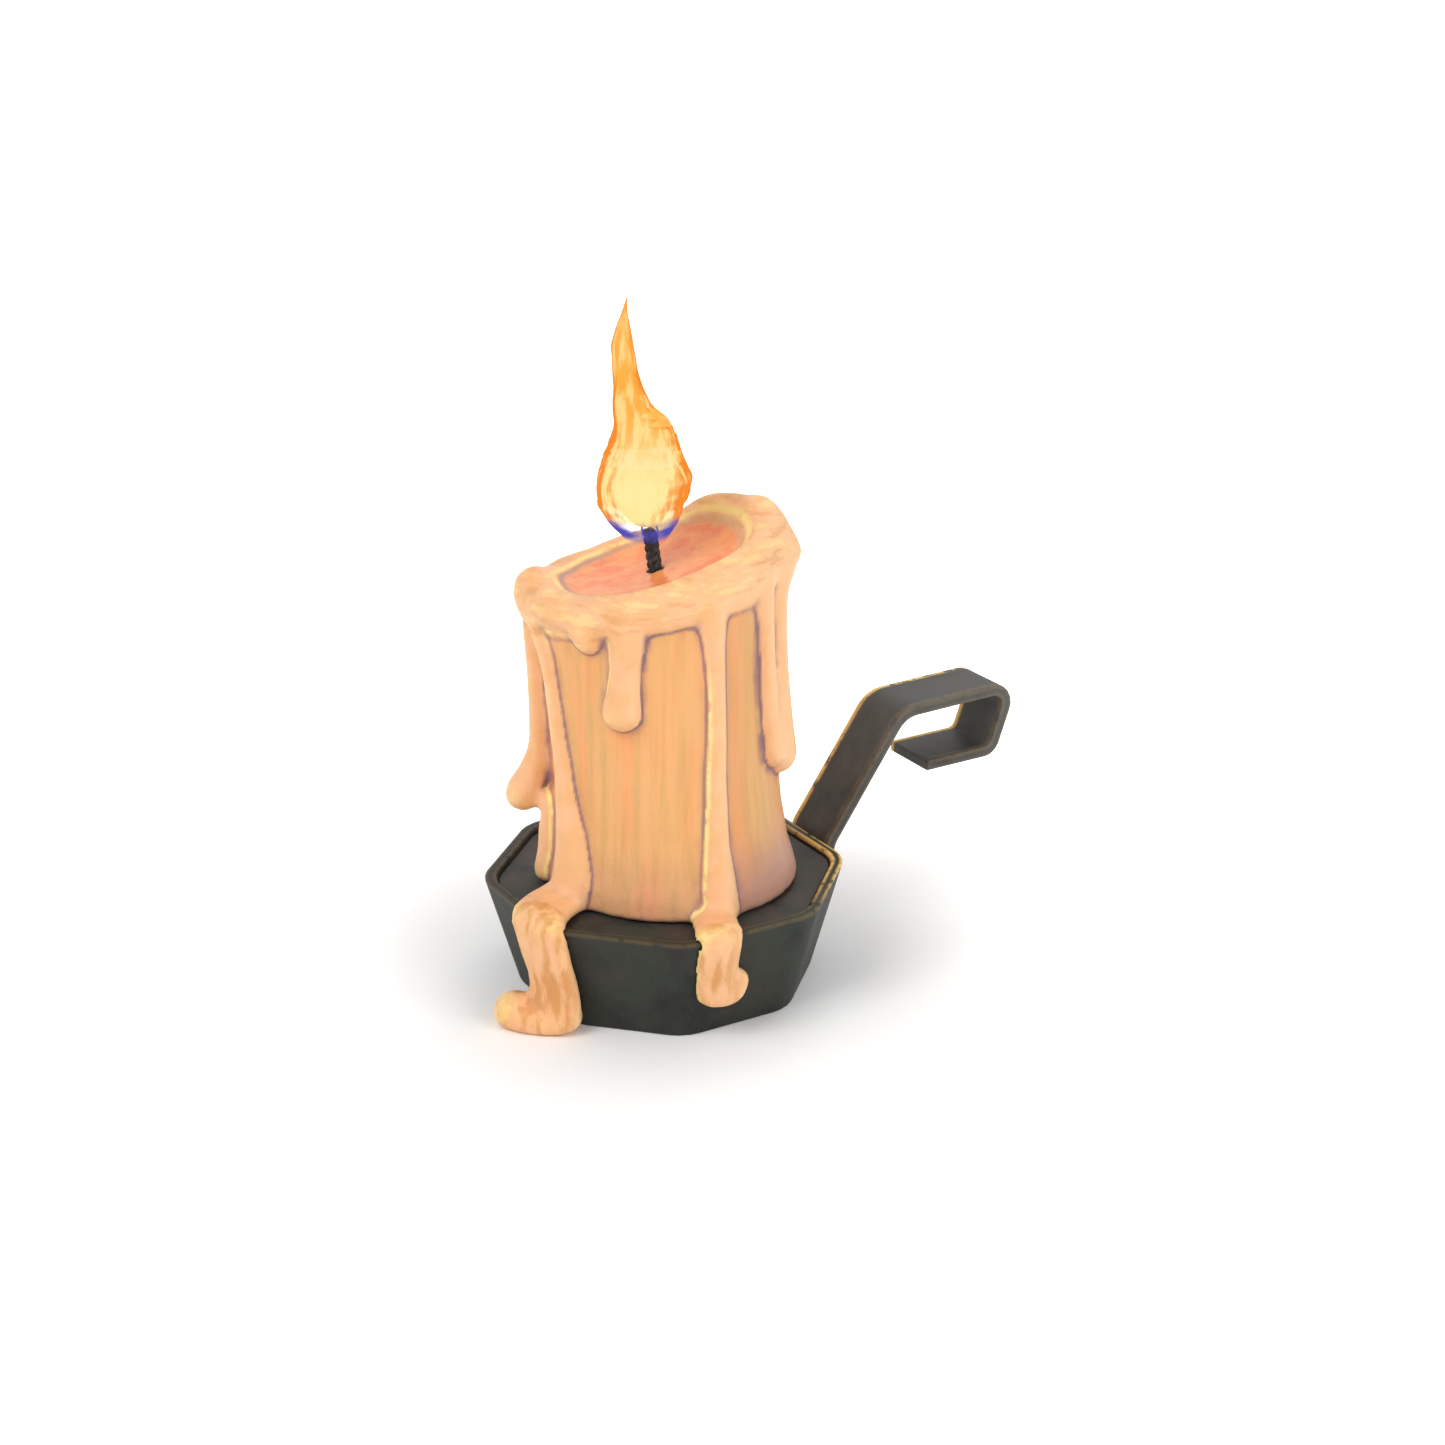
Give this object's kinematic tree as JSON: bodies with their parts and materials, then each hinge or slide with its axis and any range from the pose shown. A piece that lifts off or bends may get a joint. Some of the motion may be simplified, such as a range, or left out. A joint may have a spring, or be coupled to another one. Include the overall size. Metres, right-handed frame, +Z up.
{
  "type": "melted candle",
  "caption": "Lit pillar candle, melted unevenly with set drips over the rim, in an eight-sided iron chamberstick with a bent strap handle",
  "frame": {"origin": "centre of the pan's flat underside", "axes": "+Z up along the candle, +X along the handle, underside facing -Z"},
  "size_m": [0.1514, 0.088, 0.1691],
  "materials": {
    "iron": "blackened, matt, with rubbed edges",
    "wax": "set wax, satin",
    "charred_wick": "charred cotton",
    "fire": "glowing gas"
  },
  "bodies": {
    "root": {"pan": "iron", "candle_cup": "iron", "handle_strap": "iron", "rivet_lower": "iron", "rivet_upper": "iron", "candle_wax": "wax", "wick": "charred_wick", "flame": "fire"}
  },
  "joints": []
}
